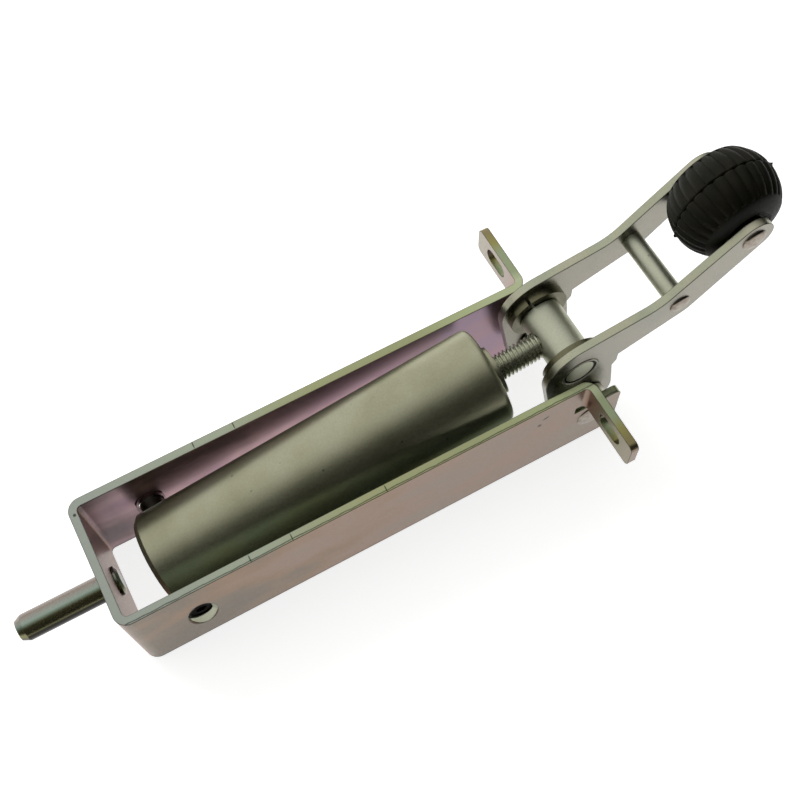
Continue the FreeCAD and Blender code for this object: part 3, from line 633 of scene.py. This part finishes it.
def marked_film(tree, coords, colour):
    """Darken the film inside each mark, an ellipsoid: there the stretched distance is below 1."""
    for centre, half, turn in MARKS:
        local = add(tree, "ShaderNodeMapping",
                    {"Vector": coords.outputs["Object"], "Location": Vector(centre) * MM,
                     "Rotation": (0.0, math.radians(turn), 0.0), "Scale": Vector(half) * MM},
                    vector_type="TEXTURE")
        reach = add(tree, "ShaderNodeVectorMath", {0: local.outputs[0]}, operation="LENGTH")
        tone = add(tree, "ShaderNodeMapRange",
                   {"Value": reach.outputs["Value"], "From Min": 0.5, "From Max": 1.0,
                    "To Min": MARK_TONE, "To Max": 1.0})
        darker = add(tree, "ShaderNodeVectorMath", {0: colour, "Scale": tone.outputs[0]},
                     operation="SCALE")
        colour = darker.outputs[0]
    return colour


print("marks on the film", len(MARKS))

# %% Burr and foot
BURR_INSET = 0.95
BURR_TONE = 0.3
FOOT_TONE = 0.45
FLOAT_A, FLOAT_B = 2, 3


def burr_line(tree, coords, colour):
    """Dark line on the right wall's upper edge, where |y + side - inset + wobble| is small.

    A second, straight line darkens the foot of the walls, up to 0.9 mm above their lower edge."""
    spot = add(tree, "ShaderNodeSeparateXYZ", {"Vector": coords.outputs["Object"]})
    facing = add(tree, "ShaderNodeSeparateXYZ", {"Vector": coords.outputs["Normal"]})
    waver = add(tree, "ShaderNodeTexNoise",
                {"Vector": coords.outputs["Object"], "Scale": per_mm(5.0),
                 "Detail": 4.0, "Roughness": 0.7})
    wobble = add(tree, "ShaderNodeMath",
                 {0: waver.outputs["Fac"], 1: 0.8 * MM, 2: (SIDE - BURR_INSET) * MM},
                 operation="MULTIPLY_ADD")
    away = add(tree, "ShaderNodeMath", {0: spot.outputs["Y"], 1: wobble.outputs[0]}, operation="ADD")
    near = add(tree, "ShaderNodeMath", {0: away.outputs[0]}, operation="ABSOLUTE")
    line = add(tree, "ShaderNodeMapRange",
               {"Value": near.outputs[0], "From Min": 0.08 * MM, "From Max": 0.24 * MM,
                "To Min": BURR_TONE, "To Max": 1.0})
    foot = add(tree, "ShaderNodeMapRange",
               {"Value": spot.outputs["Z"], "From Min": (BOTTOM + 0.3) * MM,
                "From Max": (BOTTOM + 0.9) * MM, "To Min": FOOT_TONE, "To Max": 1.0})
    is_top = add(tree, "ShaderNodeMath", {0: facing.outputs["Z"], 1: 0.9}, operation="GREATER_THAN")
    tone = add(tree, "ShaderNodeMix",
               {"Factor": is_top.outputs[0], FLOAT_A: foot.outputs[0], FLOAT_B: line.outputs[0]})
    darker = add(tree, "ShaderNodeVectorMath", {0: colour, "Scale": tone.outputs[0]}, operation="SCALE")
    return darker.outputs[0]


# %% Yellow zinc
# a satin metal in soft clouds of colour; the cloudy film scatters a little, so it isn't all metal
yellow_zinc, film_tree, film_shader = new_material("yellow_passivated_zinc", {"Metallic": 0.88})
film_coords = add(film_tree, "ShaderNodeTexCoord")
film_colour = burr_line(film_tree, film_coords, yellow_film(film_tree, film_coords))
film_colour = marked_film(film_tree, film_coords, film_colour)
plated_skin(film_tree, film_shader, film_coords, film_colour,
            roughness=0.33, edge_mm=0.45, edge_shade_tone=0.3, grain_tone=0.05)
print("yellow zinc nodes", len(film_tree.nodes))

# %% [markdown]
# ## The rear pin
# The pin took the same bath, and the film tints it, but the bands that run along the pin are
# painted reflections and painted shade: warm grey on the left, green on top, olive further
# round, and its underside darker still. A ramp over the normal's y follows the angle round
# the pin without any unwrapping.

# %% Film and painted reflections on the rear pin
# painted reflections and shade over the film's tint: a dark band, then light stripes round the pin
PIN_FILM_AND_REFLECTIONS = [(0.00, "#2c2a27"), (0.045, "#24231d"), (0.10, "#85835f"), (0.29, "#85835f"),
            (0.37, "#7f917f"), (0.46, "#8f9c8f"), (0.56, "#8f938a"), (0.68, "#8d857b"),
            (0.85, "#857b74")]
# smoother than the sheet, so it mirrors the room more sharply; the stripes along the pin are painted reflections
# in its colour ramp
pin_zinc, pin_tree, pin_shader = new_material("yellow_zinc_pin", {"Metallic": 0.8})
pin_coords = add(pin_tree, "ShaderNodeTexCoord")
pin_facing = add(pin_tree, "ShaderNodeSeparateXYZ", {"Vector": pin_coords.outputs["Normal"]})
pin_turn = add(pin_tree, "ShaderNodeMath", {0: pin_facing.outputs["Y"], 1: 0.5, 2: 0.5},
               operation="MULTIPLY_ADD")
pin_film_and_reflections = add(pin_tree, "ShaderNodeValToRGB", {"Fac": pin_turn.outputs[0]}, ramp=PIN_FILM_AND_REFLECTIONS)
plated_skin(pin_tree, pin_shader, pin_coords, pin_film_and_reflections.outputs[0],
            roughness=0.22, edge_mm=0.4, edge_shade_tone=0.4, grain_tone=0.06)
print("pin film bands", len(PIN_FILM_AND_REFLECTIONS))

# %% [markdown]
# ## Clear passivated zinc
# The lever's plates, pins and collars have the thinner, clear film: a warm light grey with
# hardly any colour, a touch lighter and greener where a cut edge looks up. One plain colour
# would look like paint, so two short ramps drift slowly, one for the faces and one for edges.

# %% Clear zinc
CLEAR_FACES = [(0.30, "#8f8d80"), (0.50, "#939083"), (0.70, "#968f84")]
CLEAR_EDGES = [(0.30, "#a3a791"), (0.50, "#abab93"), (0.70, "#b2ae9a")]
# all metal and nearly grey, so the eye sees mostly the soft reflection of the room
clear_zinc, clear_tree, clear_shader = new_material("clear_passivated_zinc", {"Metallic": 1.0})
clear_coords = add(clear_tree, "ShaderNodeTexCoord")
clear_facing = add(clear_tree, "ShaderNodeSeparateXYZ", {"Vector": clear_coords.outputs["Normal"]})
clear_drift = add(clear_tree, "ShaderNodeTexNoise",
                  {"Vector": clear_coords.outputs["Object"], "Scale": per_mm(12.0), "Detail": 3.0})
clear_face = add(clear_tree, "ShaderNodeValToRGB", {"Fac": clear_drift.outputs["Fac"]}, ramp=CLEAR_FACES)
clear_edge = add(clear_tree, "ShaderNodeValToRGB", {"Fac": clear_drift.outputs["Fac"]}, ramp=CLEAR_EDGES)
clear_up = add(clear_tree, "ShaderNodeMapRange",
               {"Value": clear_facing.outputs["Z"], "From Min": 0.3, "From Max": 0.8})
clear_colour = add(clear_tree, "ShaderNodeMix",
                   {"Factor": clear_up.outputs[0], COLOUR_A: clear_face.outputs[0],
                    COLOUR_B: clear_edge.outputs[0]}, data_type="RGBA")
plated_skin(clear_tree, clear_shader, clear_coords, clear_colour.outputs[COLOUR_MIX],
            roughness=0.31, edge_mm=0.45, edge_shade_tone=0.25, grain_tone=0.08)
print("clear zinc nodes", len(clear_tree.nodes))

# %% [markdown]
# ## Peened heads
# The hammer broke the film on the rivets' faces, so they are browner and coarser than the
# plates, with dents as large as the hammer's marks. Sculpted dents would be lost at this size,
# so one noise gives both the tone and the bump.

# %% Hammered zinc
# browner than the plates and uneven, so each head glints in patches
peened_zinc, peen_tree, peen_shader = new_material("peened_zinc", {"Metallic": 1.0, "Roughness": 0.34})
peen_coords = add(peen_tree, "ShaderNodeTexCoord")
peen_marks = add(peen_tree, "ShaderNodeTexNoise",
                 {"Vector": peen_coords.outputs["Object"], "Scale": per_mm(1.6), "Detail": 3.0})
peen_tone = add(peen_tree, "ShaderNodeValToRGB", {"Fac": peen_marks.outputs["Fac"]},
                ramp=[(0.35, "#8a7f75"), (0.5, "#9c9184"), (0.65, "#a69f93")])
# painted shade: the shoulder that looks up is darkened
peen_facing = add(peen_tree, "ShaderNodeSeparateXYZ", {"Vector": peen_coords.outputs["Normal"]})
peen_shoulder_shade = add(peen_tree, "ShaderNodeMapRange",
                 {"Value": peen_facing.outputs["Z"], "From Min": 0.4, "From Max": 0.8,
                  "To Min": 1.0, "To Max": 0.35})
peen_colour = add(peen_tree, "ShaderNodeVectorMath",
                  {0: peen_tone.outputs[0], "Scale": peen_shoulder_shade.outputs[0]}, operation="SCALE")
peen_dents = add(peen_tree, "ShaderNodeBump",
                 {"Strength": 0.22, "Distance": 0.15 * MM, "Height": peen_marks.outputs["Fac"]})
peen_tree.links.new(peen_colour.outputs[0], peen_shader["Base Color"])
peen_tree.links.new(peen_dents.outputs[0], peen_shader["Normal"])
print("peened zinc nodes", len(peen_tree.nodes))

# %% [markdown]
# ## Turned steel
# The cylinder is turned from bar and has a satin, faintly olive skin with small pits. A
# photograph of steel could be wrapped round it, but it would stretch on the ends. Clouds of
# tone, a fine grain that sparkles where bright meets dark, and a sparse cell pattern for the
# pits need no wrapping.


# %% Turned steel
def turned_steel(name, ramp, roughness, pit_mm, pit_size, dent=0.22):
    """Satin steel: tone * mottle * pits, where a pit is the middle of a sparse cell."""
    material, tree, shader = new_material(name, {"Metallic": 0.88})
    coords = add(tree, "ShaderNodeTexCoord")
    clouds = add(tree, "ShaderNodeTexNoise",
                 {"Vector": coords.outputs["Object"], "Scale": per_mm(16.0), "Detail": 4.0})
    tone = add(tree, "ShaderNodeValToRGB", {"Fac": clouds.outputs["Fac"]}, ramp=ramp)
    # the blasted grain is finer than a pixel, so it is drawn about three times as coarse
    grain = add(tree, "ShaderNodeTexNoise",
                {"Vector": coords.outputs["Object"], "Scale": per_mm(0.6),
                 "Detail": 3.0, "Roughness": 0.65})
    mottle = add(tree, "ShaderNodeMapRange",
                 {"Value": grain.outputs["Fac"], "From Min": 0.3, "From Max": 0.7,
                  "To Min": 0.90, "To Max": 1.08})
    cells = add(tree, "ShaderNodeTexVoronoi",
                {"Vector": coords.outputs["Object"], "Scale": per_mm(pit_mm)})
    pit = add(tree, "ShaderNodeMapRange",
              {"Value": cells.outputs["Distance"], "From Min": pit_size / 2 / pit_mm,
               "From Max": pit_size / pit_mm, "To Min": 0.6, "To Max": 1.0})
    shade = add(tree, "ShaderNodeMath", {0: mottle.outputs[0], 1: pit.outputs[0]}, operation="MULTIPLY")
    colour = add(tree, "ShaderNodeVectorMath", {0: tone.outputs[0], "Scale": shade.outputs[0]},
                 operation="SCALE")
    satin = add(tree, "ShaderNodeMapRange",
                {"Value": grain.outputs["Fac"], "From Min": 0.3, "From Max": 0.7,
                 "To Min": roughness - 0.05, "To Max": roughness + 0.07})
    rounded = add(tree, "ShaderNodeBevel", {"Radius": 0.3 * MM}, samples=6)
    dents = add(tree, "ShaderNodeBump",
                {"Strength": dent, "Distance": 0.04 * MM, "Height": grain.outputs["Fac"],
                 "Normal": rounded.outputs[0]})
    tree.links.new(colour.outputs[0], shader["Base Color"])
    tree.links.new(satin.outputs[0], shader["Roughness"])
    tree.links.new(dents.outputs[0], shader["Normal"])
    return material


# %% Steels of the cylinder, barrel, thread and spring
# satin: a broad soft band of light along the cylinder
cylinder_steel = turned_steel("satin_turned_steel",
                              [(0.3, "#96957a"), (0.5, "#a1a086"), (0.7, "#a8a790")],
                              roughness=0.38, pit_mm=6.0, pit_size=0.5)
# plated after turning: paler and a little softer
barrel_zinc = turned_steel("zinc_plated_barrel",
                           [(0.3, "#b5b7a0"), (0.5, "#bcbea8"), (0.7, "#c2c3b0")],
                           roughness=0.42, pit_mm=4.0, pit_size=0.4)
# a cut thread is brighter and smoother than a rolled or blasted skin, so its flanks glint
thread_zinc = turned_steel("zinc_plated_thread",
                           [(0.3, "#b0b29b"), (0.5, "#bbbda7"), (0.7, "#c4c5b2")],
                           roughness=0.28, pit_mm=4.0, pit_size=0.2, dent=0.03)
# drawn wire under oil: darker and cooler
spring_steel = turned_steel("oiled_spring_steel",
                            [(0.3, "#77777a"), (0.5, "#808083"), (0.7, "#8a8a8c")],
                            roughness=0.35, pit_mm=4.0, pit_size=0.3)
print("steels", cylinder_steel.name, barrel_zinc.name, thread_zinc.name, spring_steel.name)

# %% [markdown]
# ## Blacks
# Three blacks sit side by side. The rubber is matt with a brownish bloom. The bushes are a
# bearing plastic filled with graphite and polished by the plates, so they shine like a dark
# olive metal. The trunnion pins are oxide-blackened steel. Plain black would merge them, so
# each gets its own roughness and a fine texture.


# %% A black surface
def black_surface(name, dark, light, inputs, roughness, grain_mm, bump_mm):
    """A near-black skin: noise mixes two tones, and a finer noise dents the surface.

    Returns its tree, coordinates, tone and sockets too, for a finish that needs one more step."""
    material, tree, shader = new_material(name, inputs)
    coords = add(tree, "ShaderNodeTexCoord")
    bloom = add(tree, "ShaderNodeTexNoise",
                {"Vector": coords.outputs["Object"], "Scale": per_mm(6.0), "Detail": 4.0})
    tone = add(tree, "ShaderNodeValToRGB", {"Fac": bloom.outputs["Fac"]},
               ramp=[(0.35, dark), (0.7, light)])
    grain = add(tree, "ShaderNodeTexNoise",
                {"Vector": coords.outputs["Object"], "Scale": per_mm(grain_mm), "Detail": 2.0})
    satin = add(tree, "ShaderNodeMapRange",
                {"Value": grain.outputs["Fac"], "From Min": 0.3, "From Max": 0.7,
                 "To Min": roughness - 0.06, "To Max": roughness + 0.06})
    bump = add(tree, "ShaderNodeBump",
               {"Strength": 0.3, "Distance": bump_mm * MM, "Height": grain.outputs["Fac"]})
    tree.links.new(tone.outputs[0], shader["Base Color"])
    tree.links.new(satin.outputs[0], shader["Roughness"])
    tree.links.new(bump.outputs[0], shader["Normal"])
    return material, tree, coords, tone, shader


# %% Rubber and plastic
# matt: hardly any highlight, so the ribs show by their own shade
rubber = black_surface("moulded_black_rubber", "#15150e", "#1f1e15",
                       {"Metallic": 0.0, "Specular IOR Level": 0.11},
                       roughness=0.5, grain_mm=0.6, bump_mm=0.03)[0]
# graphite: a dark metallic sheen
bush_plastic = black_surface("graphite_filled_plastic", "#66644c", "#75735a",
                             {"Metallic": 0.9, "Specular IOR Level": 0.5},
                             roughness=0.32, grain_mm=0.5, bump_mm=0.02)[0]
print("blacks", rubber.name, bush_plastic.name)

# %% Black oxide
# a dark mirror along the pin's side, and ends in painted shade: near-black and hardly metallic, as the shade deep
# in the wall's hole
black_oxide, oxide_tree, oxide_coords, oxide_tone, oxide_shader = black_surface(
    "black_oxide_steel", "#5b5850", "#6e6a61", {"Specular IOR Level": 0.0},
    roughness=0.36, grain_mm=0.5, bump_mm=0.02)
oxide_facing = add(oxide_tree, "ShaderNodeSeparateXYZ", {"Vector": oxide_coords.outputs["Normal"]})
oxide_sideways = add(oxide_tree, "ShaderNodeMath", {0: oxide_facing.outputs["Y"]}, operation="ABSOLUTE")
# painted shade: where the normal looks along y, on the pins' ends, colour and metal fall to a tenth
oxide_end_shade = add(oxide_tree, "ShaderNodeMapRange",
                   {"Value": oxide_sideways.outputs[0], "From Min": 0.8, "From Max": 0.95,
                    "To Min": 1.0, "To Max": 0.1})
oxide_colour = add(oxide_tree, "ShaderNodeVectorMath",
                   {0: oxide_tone.outputs[0], "Scale": oxide_end_shade.outputs[0]}, operation="SCALE")
oxide_tree.links.new(oxide_colour.outputs[0], oxide_shader["Base Color"])
oxide_tree.links.new(oxide_end_shade.outputs[0], oxide_shader["Metallic"])
print("black oxide nodes", len(oxide_tree.nodes))

# %% [markdown]
# ## Dressing the nodes
# Each node's slot in the record says which finish it has. The cross barrel and the stay rod
# are turned, so they take the turned variant of the zinc. The rear pin has its bands.

# %% Assign materials
FINISH = {"yellow_zinc": yellow_zinc, "clear_zinc": clear_zinc, "cylinder_steel": cylinder_steel,
          "black_oxide": black_oxide, "spring_steel": spring_steel, "black_rubber": rubber,
          "black_plastic": bush_plastic}
OWN_FINISH = {"cross_barrel": barrel_zinc, "stay_rod": barrel_zinc, "roller_hub": rubber,
              "rear_pin": pin_zinc}
NEW_FINISH = [([tyre] + liners + gap_shades, rubber), ([rod], thread_zinc), ([collar], bush_plastic),
              (rivets, peened_zinc), (eyelets, barrel_zinc), (snaps, clear_zinc), (covers, yellow_zinc)]


def dress(piece, material):
    """Give a piece this one finish."""
    piece.data.materials.clear()
    piece.data.materials.append(material)


for part in frame["record"]["subparts"]:
    name = part["node"]
    dress(nodes[name], OWN_FINISH.get(name, FINISH[part["material_slot"]]))
for pieces, material in NEW_FINISH:
    for piece in pieces:
        dress(piece, material)
print("dressed", len(nodes), "nodes and", sum(len(pieces) for pieces, _ in NEW_FINISH), "new pieces")

# %% [markdown]
# ## The table
# The damper lies on a pale table. The table glows a little for the camera and for reflections,
# so that it stays white around the object, and its matt paint still takes the soft shadow.
# More light on the table would bleach the metal too, so the glow is for these rays alone.

# %% Table
FLOOR_Z = cad_box[0].z
FLOOR_HALF = 20.0
TABLE_GLOW = 0.82


def bare_material(name):
    """A material with an empty tree, for a surface that isn't one Principled shader."""
    material = bpy.data.materials.new(name)
    material.use_nodes = True
    material.node_tree.nodes.clear()
    return material, material.node_tree


floor_mesh = bpy.data.meshes.new("table")
floor_corners = np.array([(-1, -1), (1, -1), (1, 1), (-1, 1)]) * FLOOR_HALF
floor_mesh.from_pydata([(x, y, FLOOR_Z) for x, y in floor_corners], [], [(0, 1, 2, 3)])
floor = new_object("table", floor_mesh)
print("table at", round(FLOOR_Z / MM, 1), "mm")

# %% Paint of the table
# matt white paint: a soft shadow and no highlight
floor_paint, floor_tree = bare_material("white_table")
path = add(floor_tree, "ShaderNodeLightPath")
seen = add(floor_tree, "ShaderNodeMath",
           {0: path.outputs["Is Camera Ray"], 1: path.outputs["Is Glossy Ray"]}, operation="MAXIMUM")
seen = add(floor_tree, "ShaderNodeMath",
           {0: seen.outputs[0], 1: path.outputs["Is Transmission Ray"]}, operation="MAXIMUM")
glow = add(floor_tree, "ShaderNodeMath", {0: seen.outputs[0], 1: TABLE_GLOW}, operation="MULTIPLY")
shine = add(floor_tree, "ShaderNodeEmission", {"Color": linear("#ffffff"), "Strength": glow.outputs[0]})
matt = add(floor_tree, "ShaderNodeBsdfDiffuse", {"Color": linear("#c8c8c6")})
total = add(floor_tree, "ShaderNodeAddShader", {0: shine.outputs[0], 1: matt.outputs[0]})
add(floor_tree, "ShaderNodeOutputMaterial", {"Surface": total.outputs[0]})
dress(floor, floor_paint)
print("table glow", TABLE_GLOW)

# %% [markdown]
# ## The light tent
# Satin metal shows whatever stands around it, and all-white surroundings would make it look
# like paper. So the white sky is let in through one wide opening at the far left, and a dark
# gauze that thickens away from it hangs round the rest: the dark side draws the shape of each
# round piece. The camera doesn't see the gauze.

# %% Tent
OPENING = Vector((-0.15, 0.76, 0.62)).normalized()
# the tent has a radius of one metre and hangs round the opening's direction
tent_polar = np.radians(np.linspace(41.0, 150.0, 40))[:, None, None]
tent_turn = np.radians(np.arange(0.0, 360.0, 5.0))[:, None]
tent_right = np.array(OPENING.cross((0.0, 0.0, 1.0)).normalized())
tent_up = np.cross(tent_right, OPENING)
tent_ring = np.cos(tent_turn) * tent_right + np.sin(tent_turn) * tent_up
tent_points = np.cos(tent_polar) * np.array(OPENING) + np.sin(tent_polar) * tent_ring
gauze = grid_object("gauze_tent", tent_points)
gauze.visible_camera = False

# %% Gauze
GAUZE_FROM, GAUZE_FULL = 0.75, 0.22
# a veil: clear at the opening and dark cloth away from it, so reflections fade without an edge
gauze_cloth, gauze_tree = bare_material("dark_gauze")
gauze_coords = add(gauze_tree, "ShaderNodeTexCoord")
# with a radius of one metre, a point's coordinates are its direction
gauze_place = add(gauze_tree, "ShaderNodeVectorMath",
                  {0: gauze_coords.outputs["Object"], 1: OPENING}, operation="DOT_PRODUCT")
gauze_cover = add(gauze_tree, "ShaderNodeMapRange",
                  {"Value": gauze_place.outputs["Value"], "From Min": GAUZE_FROM, "From Max": GAUZE_FULL})
gauze_hole = add(gauze_tree, "ShaderNodeBsdfTransparent")
gauze_thread = add(gauze_tree, "ShaderNodeBsdfDiffuse", {"Color": linear("#3e3d39")})
gauze_mix = add(gauze_tree, "ShaderNodeMixShader",
                {0: gauze_cover.outputs[0], 1: gauze_hole.outputs[0], 2: gauze_thread.outputs[0]})
add(gauze_tree, "ShaderNodeOutputMaterial", {"Surface": gauze_mix.outputs[0]})
dress(gauze, gauze_cloth)
print("gauze nodes", len(gauze_tree.nodes))

# %% [markdown]
# ## Sky and softbox
# The sky outside the tent is plain white, which is all that the metal mirrors. Rubber, paint
# and shadows need some direction too, so a softbox hangs in the opening. A stronger sky could
# do it, but it would bleach the metal, so the softbox is left out of reflections.

# %% Sky
world = bpy.data.worlds.new("white_sky")
bpy.context.scene.world = world
world.use_nodes = True
world.node_tree.nodes["Background"].inputs["Color"].default_value = linear("#ffffff")
world.node_tree.nodes["Background"].inputs["Strength"].default_value = 1.0
bpy.context.scene.view_settings.view_transform = "Standard"
print("world", world.name)

# %% Softbox in the opening
softbox_data = bpy.data.lights.new("softbox", "AREA")
softbox_data.shape = "DISK"
softbox_data.size = 0.7
softbox_data.energy = 4.0
softbox = new_object("softbox", softbox_data)
softbox.location = OPENING * 0.9
softbox.rotation_euler = (-OPENING).to_track_quat("-Z", "Y").to_euler()
softbox.visible_glossy = False
print("softbox", softbox_data.energy, "W")
